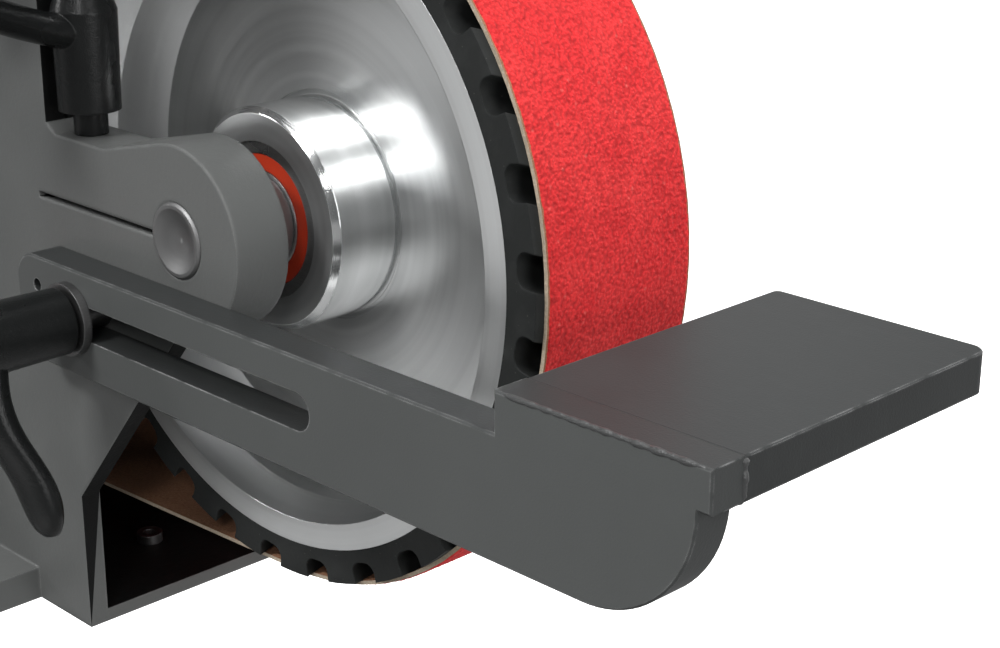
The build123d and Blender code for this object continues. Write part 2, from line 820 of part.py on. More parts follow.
with BuildPart() as motor_cowl:
    with BuildSketch(across(cowl_start - 0.1)):
        with Locations((drive_x, drive_z)):
            Circle(fin_radius + 0.8)
    extrude(amount=56)
    fillet(motor_cowl.edges().filter_by(GeomType.CIRCLE).sort_by(Axis.Y)[0], radius=10)
    with BuildSketch(across(cowl_start)):
        with Locations((drive_x, drive_z)):
            Circle(fin_radius - 1.6)
    extrude(amount=52, mode=Mode.SUBTRACT)
    with BuildSketch(across(cowl_start - 30)):
        with Locations((drive_x, drive_z)):
            for ring in (20, 30, 40, 50):
                with PolarLocations(ring, 12 + (ring // 10 - 2) * 6):
                    SlotOverall(7, 4, rotation=90)
    extrude(amount=40, mode=Mode.SUBTRACT)
save(motor_cowl, "motor_cowl")

with BuildPart() as motor_fan:
    with BuildSketch(across(cowl_start - 10)):
        with Locations((drive_x, drive_z)):
            Circle(18)
            Circle(shaft_radius + GAP, mode=Mode.SUBTRACT)
    extrude(amount=22)
    with BuildSketch(across(cowl_start - 28)):
        with Locations((drive_x, drive_z)):
            Circle(62)
            Circle(shaft_radius + GAP, mode=Mode.SUBTRACT)
    extrude(amount=3)
    with BuildSketch(across(cowl_start - 12)):
        with Locations((drive_x, drive_z)):
            with PolarLocations(39, 8):
                Rectangle(44, 3)
    extrude(amount=17)
save(motor_fan, "motor_fan")

box_z = drive_z + motor_radius + 12
with BuildPart() as terminal_box:
    with BuildSketch(Plane.XY.offset(box_z)):
        with Locations((drive_x, motor_start - 60)):
            RectangleRounded(94, 94, 8)
    extrude(amount=34)
    with BuildSketch(Plane.XY.offset(box_z + 4)):
        with Locations((drive_x, motor_start - 60)):
            RectangleRounded(86, 86, 5)
    extrude(amount=31, mode=Mode.SUBTRACT)
save(terminal_box, "terminal_box")

with BuildPart() as terminal_lid:
    with BuildSketch(Plane.XY.offset(box_z + 34)):
        with Locations((drive_x, motor_start - 60)):
            RectangleRounded(98, 98, 9)
    extrude(amount=8)
    fillet(terminal_lid.faces().sort_by(Axis.Z)[-1].edges(), radius=4)
save(terminal_lid, "terminal_lid")


motor_bolts = pan_screws(
    Plane(origin=(drive_x, wall_y + wall, drive_z), x_dir=(1, 0, 0), z_dir=(0, 1, 0)),
    [
        (motor_bolt_circle * math.cos(math.radians(a)), motor_bolt_circle * math.sin(math.radians(a)))
        for a in (45, 135, 225, 315)
    ],
    5,
    6,
    3,
    13,
)
save(motor_bolts, "motor_bolts")

drive_half = drive_width / 2
with BuildPart() as drive_hub:
    with BuildSketch(axial(drive_x, 0)):
        with BuildLine():
            Polyline(
                (belt_y - drive_half, drive_z + drive_radius - 6),
                (belt_y - drive_half, drive_z + drive_radius - 14),
                (belt_y - drive_half + 18, drive_z + drive_radius - 18),
                (belt_y - drive_half + 18, drive_z + 24),
                (belt_y - drive_half + 2, drive_z + 24),
                (belt_y - drive_half + 2, drive_z + shaft_radius + GAP),
                (belt_y + drive_half - 9, drive_z + shaft_radius + GAP),
                (belt_y + drive_half - 9, drive_z + 24),
                (belt_y + drive_half - 20, drive_z + 24),
                (belt_y + drive_half - 20, drive_z + drive_radius - 18),
                (belt_y + drive_half, drive_z + drive_radius - 14),
                (belt_y + drive_half, drive_z + drive_radius - 6),
                close=True,
            )
        make_face()
    revolve(axis=shaft_axis(drive_x, drive_z))
save(drive_hub, "drive_hub")

with BuildPart() as drive_tyre:
    with BuildSketch(across(belt_y + drive_half)):
        with Locations((drive_x, drive_z)):
            Circle(drive_radius)
            Circle(drive_radius - 6 + GAP, mode=Mode.SUBTRACT)
    extrude(amount=drive_width)
save(drive_tyre, "drive_tyre")

drive_bolt = pan_screws(
    Plane(origin=(drive_x, belt_y + 20.1, drive_z), x_dir=(1, 0, 0), z_dir=(0, 1, 0)),
    [(0, 0)],
    13,
    5,
    1,
    0.1,
)
save(drive_bolt, "drive_bolt")

# ---------------------------------------------------------------------------
# Tool rest: slotted bar with a stepped head, table, washer, stud and lever
# ---------------------------------------------------------------------------
bar_top = axis_z - 13.2
bar_bottom = axis_z - 43.2
bar_rear = wheel_x - 62.0
bar_front = wheel_x + 179.7
bar_y = wall_y - 0.05
nose_radius = bar_top - bar_bottom
slot_rear = wheel_x - 46.0
slot_front = wheel_x + 63.4
with BuildPart() as rest_bracket:
    with BuildSketch(across(bar_y)):
        with BuildLine():
            Polyline(
                (bar_front - nose_radius, bar_bottom),
                (bar_rear, bar_bottom),
                (bar_rear, bar_top),
                (table_inner_x, bar_top),
                (table_inner_x, table_top_z),
                (table_front_x, table_top_z),
                (table_front_x, bar_top),
                (bar_front, bar_top),
            )
            RadiusArc((bar_front, bar_top), (bar_front - nose_radius, bar_bottom), nose_radius)
        make_face()
        fillet(vertices().group_by(Axis.X)[0], radius=8)
        with Locations(((slot_rear + slot_front) / 2, rest_stud_z)):
            SlotOverall(slot_front - slot_rear, 9.6, mode=Mode.SUBTRACT)
        with Locations((wheel_x - 52, axis_z - 21.4)):
            Circle(1.8, mode=Mode.SUBTRACT)
    extrude(amount=rest_thickness)
    outer_edges = rest_bracket.faces().filter_by(Axis.Y).sort_by(Axis.Y)[0].outer_wire().edges()
    chamfer(outer_edges, length=0.5)
save(rest_bracket, "rest_bracket")

table_far_y = belt_y + 30.1
with BuildPart() as rest_table:
    with BuildSketch(Plane.XY.offset(bar_top)):
        with Locations(((table_inner_x + table_front_x) / 2, (bar_y + table_far_y) / 2)):
            Rectangle(table_front_x - table_inner_x, table_far_y - bar_y)
        fillet(vertices().group_by(Axis.Y)[-1].sort_by(Axis.X)[-1], radius=4)
        fillet(vertices().group_by(Axis.Y)[-1].sort_by(Axis.X)[0], radius=2)
    extrude(amount=table_top_z - bar_top)
    chamfer(rest_table.faces().sort_by(Axis.Z)[-1].edges().filter_by(Axis.Y), length=0.4)
save(rest_table, "rest_table")

washer_y = bar_y - rest_thickness - 0.05
with BuildPart() as rest_washer:
    with BuildSketch(across(washer_y)):
        with Locations((rest_stud_x, rest_stud_z)):
            Circle(10)
            Circle(rest_stud_radius + 0.05, mode=Mode.SUBTRACT)
    extrude(amount=2.5)
save(rest_washer, "rest_washer")

lever_y = washer_y - 2.6
with BuildPart() as rest_stud:
    with BuildSketch(across(wall_y + 14)):
        with Locations((rest_stud_x, rest_stud_z)):
            Circle(rest_stud_radius)
    extrude(amount=wall_y + 14 - lever_y + 12)
save(rest_stud, "rest_stud")


def clamping_lever(base, bore_radius, hub_radius, hub_height, neck, reach, heights):
    """Cast lever: tapered hub on the base plane, curved handle along local x."""
    with BuildPart() as lever:
        with BuildSketch(base):
            Circle(bore_radius + 1.6)
        extrude(amount=neck + 1)
        with BuildSketch(base.offset(neck)):
            Circle(hub_radius)
        with BuildSketch(base.offset(hub_height - 2)):
            Circle(hub_radius * 1.06)
        loft()
        with BuildSketch(base.offset(hub_height - 2)):
            Circle(hub_radius * 1.06)
        extrude(amount=4, taper=20)
        # the handle is lofted through ellipses set across its line
        stations = zip(
            (0, 0.3, 0.5, 0.72, 1, 1.05),
            heights,
            (7.0, 6.0, 6.4, 6.8, 4.6, 2.4),
            (7.4, 4.7, 4.8, 4.8, 3.5, 1.8),
        )
        for along, height, half_width, half_depth in stations:
            section = Plane(
                origin=base.from_local_coords((reach * along, 0, height)),
                x_dir=base.y_dir,
                z_dir=base.x_dir,
            )
            with BuildSketch(section):
                Ellipse(half_width, half_depth)
        loft()
        with BuildSketch(base):
            Circle(bore_radius)
        extrude(amount=12, mode=Mode.SUBTRACT)
    return lever


rest_lever_base = Plane(
    origin=(rest_stud_x, lever_y, rest_stud_z), x_dir=(0.25, 0, -0.97), z_dir=(0, -1, 0)
)
rest_lever = clamping_lever(
    rest_lever_base, rest_stud_radius + GAP, 9.1, 31, 1.2, 52, (23.5, 25.2, 23.6, 19.2, 16.8, 16.4)
)
save(rest_lever, "rest_lever")

clamp_base_z = axis_z + 18.5
with BuildPart() as clamp_stud:
    with BuildSketch(Plane.XY.offset(axis_z - 17)):
        with Locations((clamp_x, clamp_y)):
            Circle(clamp_stud_radius)
    extrude(amount=clamp_base_z - axis_z + 17 + 11)
save(clamp_stud, "clamp_stud")

clamp_lever_base = Plane(
    origin=(clamp_x, clamp_y, clamp_base_z), x_dir=(0, -1, 0), z_dir=(0, 0, 1)
)
clamp_lever = clamping_lever(
    clamp_lever_base, clamp_stud_radius + GAP, 8.4, 35.4, 6.6, 62, (27, 32, 37, 42, 46, 46.4)
)
save(clamp_lever, "clamp_lever")

# ---------------------------------------------------------------------------
# Controls on the outside of the wall
# ---------------------------------------------------------------------------
switch_x = wheel_x - 190.0
switch_z = axis_z - 30.0
switch_depth = 52.0
switch_face = wall_y - switch_depth
with BuildPart() as switch_box:
    with BuildSketch(across(wall_y)):
        with Locations((switch_x, switch_z)):
            RectangleRounded(84, 128, 8)
    extrude(amount=switch_depth)
    fillet(switch_box.faces().sort_by(Axis.Y)[0].outer_wire().edges(), radius=3)
    with BuildSketch(across(wall_y)):
        with Locations((switch_x, switch_z)):
            RectangleRounded(76, 120, 5)
    extrude(amount=switch_depth - 5, mode=Mode.SUBTRACT)
    with BuildSketch(across(switch_face + 6)):
        with Locations((switch_x, switch_z + 34), (switch_x, switch_z + 4)):
            Circle(9.3)
        with Locations((switch_x, switch_z - 34)):
            Circle(9.3)
    extrude(amount=8, mode=Mode.SUBTRACT)
save(switch_box, "switch_box")

with BuildPart() as button_bezels:
    with BuildSketch(across(switch_face - 0.05)):
        with Locations((switch_x, switch_z + 34), (switch_x, switch_z + 4), (switch_x, switch_z - 34)):
            Circle(14)
            Circle(9.3, mode=Mode.SUBTRACT)
    extrude(amount=4)
save(button_bezels, "button_bezels")

for button_name, height in (("start_button", 34), ("stop_button", 4)):
    with BuildPart() as push_button:
        with BuildSketch(across(switch_face + 14)):
            with Locations((switch_x, switch_z + height)):
                Circle(9)
        extrude(amount=14 + (6 if height > 10 else 9))
        cap_edges = push_button.edges().filter_by(GeomType.CIRCLE).sort_by(Axis.Y)[0]
        fillet(cap_edges, radius=1.2)
    save(push_button, button_name)

with BuildPart() as emergency_button:
    with BuildSketch(across(switch_face + 14)):
        with Locations((switch_x, switch_z - 34)):
            Circle(9)
    extrude(amount=24)
    with BuildSketch(across(switch_face - 10)):
        with Locations((switch_x, switch_z - 34)):
            Circle(18)
    extrude(amount=12)
    fillet(emergency_button.edges().filter_by(GeomType.CIRCLE).sort_by(Axis.Y)[0], radius=5)
save(emergency_button, "emergency_button")

gland_planes = [
    Plane(origin=(drive_x - 47, motor_start - 60, box_z + 17), x_dir=(0, 1, 0), z_dir=(-1, 0, 0)),
    Plane(origin=(switch_x, wall_y - 26, switch_z - 64), x_dir=(1, 0, 0), z_dir=(0, 0, -1)),
]
with BuildPart() as cable_glands:
    for plane in gland_planes:
        with BuildSketch(plane):
            RegularPolygon(11, 6)
        extrude(amount=7)
        with BuildSketch(plane.offset(7)):
            Circle(9.5)
        extrude(amount=12, taper=6)
        with BuildSketch(plane):
            Circle(4.5)
        extrude(amount=20, mode=Mode.SUBTRACT)
save(cable_glands, "cable_glands")

# ---------------------------------------------------------------------------
# Stand: welded column on an anchored foot plate, with a screwed cover
# ---------------------------------------------------------------------------
stand_wall = 3.0
stand_top = 8.0
cover_z = 520.0
cover_width = 190.0
cover_height = 320.0
with BuildPart() as stand:
    with BuildSketch(Plane.XY):
        RectangleRounded(foot_x, foot_y, 20)
        with GridLocations(anchor_x, anchor_y, 2, 2):
            Circle(anchor_radius, mode=Mode.SUBTRACT)
    extrude(amount=foot_thickness)
    with BuildSketch(Plane.XY.offset(foot_thickness)):
        RectangleRounded(stand_x, stand_y, 14)
        offset(amount=-stand_wall, kind=Kind.INTERSECTION, mode=Mode.SUBTRACT)
    extrude(amount=floor_z - stand_top - foot_thickness)
    with BuildSketch(Plane.XY.offset(floor_z - stand_top)):
        RectangleRounded(stand_x, stand_y, 14)
    extrude(amount=stand_top)
    with BuildSketch(Plane.XY.offset(floor_z - stand_top - 1)):
        with Locations(*bed_bolt_places):
            Circle(5.5)
    extrude(amount=stand_top + 2, mode=Mode.SUBTRACT)
    # gussets brace the column on its foot plate
    for side in (-1, 1):
        for end in (-1, 1):
            with BuildSketch(Plane.XZ.offset(-side * 60 + 3)):
                with BuildLine():
                    Polyline(
                        (end * (stand_x / 2 - 1), foot_thickness),
                        (end * (stand_x / 2 + 90), foot_thickness),
                        (end * (stand_x / 2 + 90), foot_thickness + 12),
                        (end * (stand_x / 2 + 8), foot_thickness + 130),
                        (end * (stand_x / 2 - 1), foot_thickness + 130),
                        close=True,
                    )
                make_face()
            extrude(amount=6)
    # access opening in the front face
    with BuildSketch(Plane.YZ.offset(stand_x / 2 - stand_wall - 1)):
        with Locations((0, cover_z)):
            RectangleRounded(cover_width - 40, cover_height - 40, 10)
            with GridLocations(cover_width - 20, cover_height - 20, 2, 2):
                Circle(2.4 + GAP)
    extrude(amount=stand_wall + 2, mode=Mode.SUBTRACT)
save(stand, "stand")

with BuildPart() as stand_cover:
    with BuildSketch(Plane.YZ.offset(stand_x / 2 + 0.1)):
        with Locations((0, cover_z)):
            RectangleRounded(cover_width, cover_height, 12)
            with GridLocations(cover_width - 20, cover_height - 20, 2, 2):
                Circle(2.6, mode=Mode.SUBTRACT)
    extrude(amount=2)
save(stand_cover, "stand_cover")

cover_face = Plane(origin=(stand_x / 2 + 2.2, 0, cover_z), x_dir=(0, 1, 0), z_dir=(1, 0, 0))
cover_corner = ((cover_width - 20) / 2, (cover_height - 20) / 2)
cover_screws = pan_screws(
    cover_face,
    [(a * cover_corner[0], b * cover_corner[1]) for a in (-1, 1) for b in (-1, 1)],
    4.5,
    3,
    2.4,
    5.0,
)
panel_screws = Compound(spigot_screws.part.solids() + cover_screws.part.solids())
panel_screws.label = "panel_screws"
export_step(panel_screws, "parts/panel_screws.step")
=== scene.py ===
import math

import bmesh
import bpy
from mathutils import Matrix, Vector, noise


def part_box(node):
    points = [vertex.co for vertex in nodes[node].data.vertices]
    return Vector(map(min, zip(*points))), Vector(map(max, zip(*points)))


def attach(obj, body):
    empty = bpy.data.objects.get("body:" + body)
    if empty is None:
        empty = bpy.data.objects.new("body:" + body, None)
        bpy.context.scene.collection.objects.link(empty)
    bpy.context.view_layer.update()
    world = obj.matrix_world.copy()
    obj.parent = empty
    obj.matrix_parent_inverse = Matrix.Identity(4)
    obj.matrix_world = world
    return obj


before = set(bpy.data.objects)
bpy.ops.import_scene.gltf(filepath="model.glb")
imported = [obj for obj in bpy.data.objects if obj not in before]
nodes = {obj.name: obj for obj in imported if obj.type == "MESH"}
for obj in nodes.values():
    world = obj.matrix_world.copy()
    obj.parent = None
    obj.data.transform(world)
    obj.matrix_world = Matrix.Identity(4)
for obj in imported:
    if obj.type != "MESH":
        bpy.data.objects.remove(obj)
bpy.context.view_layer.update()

scene = bpy.context.scene


# ---------------------------------------------------------------- where things are
def middle(node):
    low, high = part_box(node)
    return (low + high) / 2


def radius_of(node):
    low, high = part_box(node)
    return (high.x - low.x) / 2


wheel = middle("wheel_tyre")
drive = middle("drive_tyre")
roller = middle("tension_roller")


# ---------------------------------------------------------------- node building
class Shader:
    """One material's node tree, with short calls for the nodes used here."""

    def __init__(self, name):
        self.material = bpy.data.materials.new(name)
        self.material.use_nodes = True
        self.tree = self.material.node_tree
        self.tree.nodes.clear()
        self.out = self.node("ShaderNodeOutputMaterial")
        self.bsdf = self.node("ShaderNodeBsdfPrincipled")
        self.link(self.bsdf.outputs[0], self.out.inputs["Surface"])
        self.place = self.node("ShaderNodeTexCoord").outputs["Object"]

    def node(self, kind, **settings):
        made = self.tree.nodes.new(kind)
        for key, value in settings.items():
            setattr(made, key, value)
        return made

    def link(self, a, b):
        self.tree.links.new(a, b)

    def put(self, socket, value):
        if hasattr(value, "is_output"):
            self.link(value, socket)
        else:
            socket.default_value = value

    def math(self, operation, a, b=0.0):
        made = self.node("ShaderNodeMath", operation=operation)
        self.put(made.inputs[0], a)
        self.put(made.inputs[1], b)
        return made.outputs[0]

    def split(self, vector):
        made = self.node("ShaderNodeSeparateXYZ")
        self.link(vector, made.inputs[0])
        return made.outputs

    def noise(self, scale, detail, rough=0.55, stretch=None):
        made = self.node("ShaderNodeTexNoise")
        made.inputs["Scale"].default_value = scale
        made.inputs["Detail"].default_value = detail
        made.inputs["Roughness"].default_value = rough
        source = self.place
        if stretch:
            mapping = self.node("ShaderNodeMapping")
            mapping.inputs["Scale"].default_value = stretch
            self.link(source, mapping.inputs["Vector"])
            source = mapping.outputs[0]
        self.link(source, made.inputs["Vector"])
        return made.outputs["Fac"]

    def cells(self, scale, feature="F1"):
        """Distance to the nearest of many scattered points."""
        made = self.node("ShaderNodeTexVoronoi", feature=feature)
        made.inputs["Scale"].default_value = scale
        self.link(self.place, made.inputs["Vector"])
        return made.outputs["Distance"]

    def ramp(self, value, low, high, at=(0.0, 1.0)):
        """Maps a value to a colour, or to a grey level where low and high are numbers."""
        made = self.node("ShaderNodeValToRGB")
        made.color_ramp.elements[0].position = at[0]
        made.color_ramp.elements[1].position = at[1]
        for element, shade in zip(made.color_ramp.elements, (low, high)):
            shade = (shade,) * 3 if isinstance(shade, (int, float)) else shade
            element.color = (*shade, 1.0)
        self.link(value, made.inputs[0])
        return made.outputs[0]

    def span(self, value, low, high, out_low=0.0, out_high=1.0):
        """Maps low to high onto out_low to out_high, and holds the ends beyond them."""
        made = self.node("ShaderNodeMapRange", clamp=True)
        self.link(value, made.inputs["Value"])
        ends = {"From Min": low, "From Max": high, "To Min": out_low, "To Max": out_high}
        for key, number in ends.items():
            made.inputs[key].default_value = number
        return made.outputs[0]

    def mix(self, factor, a, b):
        """Colour a where the factor is 0, colour b where it is 1."""
        # the node has a set of sockets for each kind of data; 6, 7 and output 2 are its colours
        made = self.node("ShaderNodeMix", data_type="RGBA")
        self.put(made.inputs["Factor"], factor)
        self.put(made.inputs[6], (*a, 1.0) if isinstance(a, tuple) else a)
        self.put(made.inputs[7], (*b, 1.0) if isinstance(b, tuple) else b)
        return made.outputs[2]

    def edges(self, radius, low=0.02, high=0.22):
        """0 on flat faces, 1 along sharp edges, from how far the rounded normal leaves the true one."""
        bevel = self.node("ShaderNodeBevel", samples=4)
        bevel.inputs["Radius"].default_value = radius
        geometry = self.node("ShaderNodeNewGeometry")
        dot = self.node("ShaderNodeVectorMath", operation="DOT_PRODUCT")
        self.link(bevel.outputs[0], dot.inputs[0])
        self.link(geometry.outputs["Normal"], dot.inputs[1])
        away = self.math("SUBTRACT", 1.0, dot.outputs["Value"])
        return self.span(away, low, high)

    def normal(self):
        """The surface normal in the part's own axes, as x, y and z."""
        return self.split(self.node("ShaderNodeTexCoord").outputs["Normal"])

    def bump(self, height, distance, strength, soft=0.0):
        made = self.node("ShaderNodeBump")
        made.inputs["Strength"].default_value = strength
        made.inputs["Distance"].default_value = distance
        self.link(height, made.inputs["Height"])
        if soft:
            bevel = self.node("ShaderNodeBevel", samples=4)
            bevel.inputs["Radius"].default_value = soft
            self.link(bevel.outputs[0], made.inputs["Normal"])
        self.link(made.outputs[0], self.bsdf.inputs["Normal"])

    def finish(self, colour, rough, metal=0.0, specular=0.5):
        self.put(self.bsdf.inputs["Base Color"], colour)
        self.put(self.bsdf.inputs["Roughness"], rough)
        self.bsdf.inputs["Metallic"].default_value = metal
        self.bsdf.inputs["Specular IOR Level"].default_value = specular
        return self.material


def shade(colour, factor):
    return tuple(min(1.0, channel * factor) for channel in colour)


# ---------------------------------------------------------------- materials
def painted(
    name, colour, rough, grain=0.00006, wear=0.5, bare=(0.32, 0.32, 0.32), specular=0.45, edge=0.0007
):
    """Stoved paint: fine orange peel, cloudy tone, dust in the hollows and rubbed edges."""
    s = Shader(name)
    cloud = s.noise(7.0, 4.0)
    patch = s.noise(38.0, 3.0)
    tone = s.ramp(cloud, shade(colour, 0.88), shade(colour, 1.10), (0.3, 0.7))
    tone = s.mix(s.span(patch, 0.55, 0.8, 0.0, 0.16), tone, shade(colour, 1.25))
    speck = s.span(s.cells(900.0), 0.0, 0.09, 0.35, 0.0)
    tone = s.mix(speck, tone, shade(colour, 0.55))
    # rubbed edges are lighter: wear, and on the frame's wider band also a painted highlight
    rub = s.math("MULTIPLY", s.edges(edge), s.span(s.noise(120.0, 4.0), 0.30, 0.62, 0.25, 1.0))
    tone = s.mix(s.math("MULTIPLY", rub, wear), tone, bare)
    peel = s.noise(650.0, 2.0)
    fine = s.noise(2600.0, 2.0)
    height = s.math("ADD", peel, s.math("MULTIPLY", fine, 0.5))
    s.bump(height, grain, 0.9, soft=edge)
    return s.finish(tone, s.span(patch, 0.3, 0.7, rough - 0.10, rough + 0.08), specular=specular)


def turned(name, centre, colour, rough, ring=0.000018, scale=2600.0, anisotropic=0.5, polish=None):
    """Lathe-turned metal: rings about the wheel's own axis, on faces and on barrels alike.

    polish is a radius and a factor: barrels inside that radius are smoother by the factor.
    """
    s = Shader(name)
    x, y, z = s.split(s.place)
    across = s.math("SUBTRACT", x, centre.x)
    up = s.math("SUBTRACT", z, centre.z)
    square = s.math("ADD", s.math("MULTIPLY", across, across), s.math("MULTIPLY", up, up))
    radius = s.math("SQRT", square)
    path = s.math("ADD", radius, y)
    rings = s.node("ShaderNodeTexNoise", noise_dimensions="1D")
    rings.inputs["Scale"].default_value = scale
    rings.inputs["Detail"].default_value = 2.0
    s.link(path, rings.inputs["W"])
    bands = s.node("ShaderNodeTexNoise", noise_dimensions="1D")
    bands.inputs["Scale"].default_value = 160.0
    bands.inputs["Detail"].default_value = 3.0
    s.link(path, bands.inputs["W"])
    cloud = s.noise(30.0, 3.0)
    tone = s.ramp(bands.outputs["Fac"], shade(colour, 0.90), shade(colour, 1.05), (0.3, 0.7))
    tone = s.mix(s.span(cloud, 0.45, 0.75, 0.0, 0.06), tone, shade(colour, 0.55))
    tangent = s.node("ShaderNodeTangent", direction_type="RADIAL", axis="Y")
    s.link(tangent.outputs[0], s.bsdf.inputs["Tangent"])
    s.bsdf.inputs["Anisotropic"].default_value = anisotropic
    s.bump(rings.outputs["Fac"], ring, 0.8, soft=0.0004)
    gloss = s.span(bands.outputs["Fac"], 0.35, 0.65, rough - 0.02, rough + 0.03)
    if polish:
        reach, factor = polish
        facing = s.math("ABSOLUTE", s.normal()[1])
        barrel = s.span(radius, reach, reach + 0.0015, factor, 1.0)
        gloss = s.math("MULTIPLY", gloss, s.math("MAXIMUM", barrel, s.span(facing, 0.6, 0.9)))
    return s.finish(tone, gloss, metal=0.92)


def metal(name, colour, rough, brush=(1.0, 1.0, 14.0), stain=0.25):
    """Ground or drawn steel with fine directional marks and light staining."""
    s = Shader(name)
    cloud = s.noise(45.0, 4.0)
    lines = s.noise(500.0, 3.0, stretch=brush)
    tone = s.ramp(lines, shade(colour, 0.82), shade(colour, 1.08), (0.3, 0.7))
    tone = s.mix(s.span(cloud, 0.5, 0.8, 0.0, stain), tone, shade(colour, 0.5))
    s.bump(lines, 0.00002, 0.8, soft=0.0004)
    return s.finish(tone, s.span(cloud, 0.3, 0.7, rough - 0.06, rough + 0.1), metal=1.0)


def plastic(name, colour, rough, grain=0.00004):
    """Moulded plastic with a spark-eroded grain and slightly polished high spots."""
    s = Shader(name)
    cloud = s.noise(20.0, 3.0)
    pebble = s.cells(1500.0, "SMOOTH_F1")
    tone = s.ramp(cloud, shade(colour, 0.85), shade(colour, 1.15), (0.3, 0.7))
    rub = s.math("MULTIPLY", s.edges(0.0006), 0.35)
    tone = s.mix(rub, tone, tuple(0.6 * c + 0.12 for c in colour))
    s.bump(pebble, grain, 0.8, soft=0.0006)
    return s.finish(tone, s.span(cloud, 0.3, 0.7, rough - 0.05, rough + 0.07))


def rubber(name, colour, rough=0.62):
    """Moulded rubber: matt skin, faint bloom, grinding dust caught in fine pores."""
    s = Shader(name)
    cloud = s.noise(28.0, 4.0)
    fine = s.noise(900.0, 3.0)
    bloom = s.noise(85.0, 5.0, 0.65)
    tone = s.ramp(cloud, shade(colour, 0.82), shade(colour, 1.18), (0.3, 0.7))
    tone = s.mix(s.span(bloom, 0.52, 0.78, 0.0, 0.22), tone, (0.06, 0.062, 0.062))
    dust = s.span(s.cells(420.0), 0.0, 0.07, 0.5, 0.0)
    tone = s.mix(dust, tone, (0.22, 0.20, 0.19))
    s.bump(fine, 0.00006, 0.8, soft=0.0006)
    return s.finish(tone, s.span(bloom, 0.3, 0.7, rough - 0.08, rough + 0.1), specular=0.22)


def grit(name):
    """Ceramic grain under a red size coat: pebbled, with darker pits and pale points."""
    s = Shader(name)
    lumps = s.cells(1200.0, "SMOOTH_F1")
    coarse = s.noise(640.0, 4.0, 0.6)
    drift = s.noise(70.0, 3.0)
    wide = s.noise(16.0, 2.0)
    relief = s.math("SUBTRACT", s.math("MULTIPLY", coarse, 0.7), s.math("MULTIPLY", lumps, 0.9))
    tone = s.ramp(coarse, (0.42, 0.011, 0.013), (0.66, 0.022, 0.025), (0.32, 0.66))
    tone = s.mix(s.span(drift, 0.40, 0.7, 0.0, 0.30), tone, (0.78, 0.060, 0.055))
    tone = s.mix(s.span(wide, 0.5, 0.8, 0.0, 0.2), tone, (0.60, 0.028, 0.030))
    pits = s.span(lumps, 0.38, 0.62, 0.0, 0.50)
    tone = s.mix(pits, tone, (0.26, 0.010, 0.011))
    pale = s.span(s.cells(210.0), 0.0, 0.13, 0.42, 0.0)
    tone = s.mix(pale, tone, (0.76, 0.20, 0.17))
    s.bump(relief, 0.00046, 1.0)
    return s.finish(tone, s.span(relief, -0.2, 0.3, 0.78, 0.58), specular=0.22)


def cloth(name, colour, thread=900.0):
    """Twill backing: warp and weft threads crossing, with glue stains."""
    s = Shader(name)
    along = s.noise(thread, 2.0, stretch=(1.0, 5.0, 1.0))
    over = s.noise(thread, 2.0, stretch=(5.0, 1.0, 5.0))
    weave = s.math("MAXIMUM", along, over)
    cloud = s.noise(40.0, 4.0)
    tone = s.ramp(weave, shade(colour, 0.6), shade(colour, 1.2), (0.4, 0.72))
    tone = s.mix(s.span(cloud, 0.45, 0.75, 0.0, 0.35), tone, shade(colour, 0.7))
    s.bump(weave, 0.0002, 0.9)
    return s.finish(tone, 0.85, specular=0.2)


def blackened(name, colour, rough, seam, specular, lit_side_colour=None):
    """Steel plate with a dark satin coat: faint cloudy scale, drawn streaks and bright rubbed edges.

    seam is the Y of the ground weld between bar and table; lit_side_colour is a lighter tone on upright
    faces, painted light for the light that falls on them.
    """
    s = Shader(name)
    cloud = s.noise(14.0, 4.0)
    streak = s.noise(120.0, 3.0, stretch=(1.0, 6.0, 1.0))
    fine = s.noise(1700.0, 2.0)
    tone = s.ramp(cloud, shade(colour, 0.80), shade(colour, 1.20), (0.3, 0.7))
    tone = s.mix(s.span(streak, 0.5, 0.75, 0.0, 0.25), tone, shade(colour, 1.4))
    speck = s.span(s.cells(1300.0), 0.0, 0.10, 0.30, 0.0)
    tone = s.mix(speck, tone, shade(colour, 2.0))
    # painted light: upright faces, and end faces in part, get a lighter tone than the top, where light falls
    # on them
    if lit_side_colour:
        normal = s.normal()
        ends = s.math("MULTIPLY", s.math("ABSOLUTE", normal[0]), 0.72)
        side = s.math("MAXIMUM", s.math("ABSOLUTE", normal[1]), ends)
        lit_side_tone = s.mix(s.span(cloud, 0.3, 0.7), lit_side_colour, shade(lit_side_colour, 1.15))
        tone = s.mix(s.span(side, 0.6, 0.9), tone, lit_side_tone)
    rub = s.math("MULTIPLY", s.edges(0.0007, 0.03, 0.2), s.span(s.noise(160.0, 4.0), 0.36, 0.58))
    # no rubbed line along the seam
    off_seam = s.math("ABSOLUTE", s.math("SUBTRACT", s.split(s.place)[1], seam))
    rub = s.math("MULTIPLY", rub, s.span(off_seam, 0.0012, 0.0022))
    tone = s.mix(s.math("MULTIPLY", rub, 0.75), tone, (0.34, 0.34, 0.34))
    s.bump(fine, 0.00005, 0.8, soft=0.0005)
    return s.finish(tone, s.span(cloud, 0.3, 0.7, rough - 0.05, rough + 0.08), specular=specular)


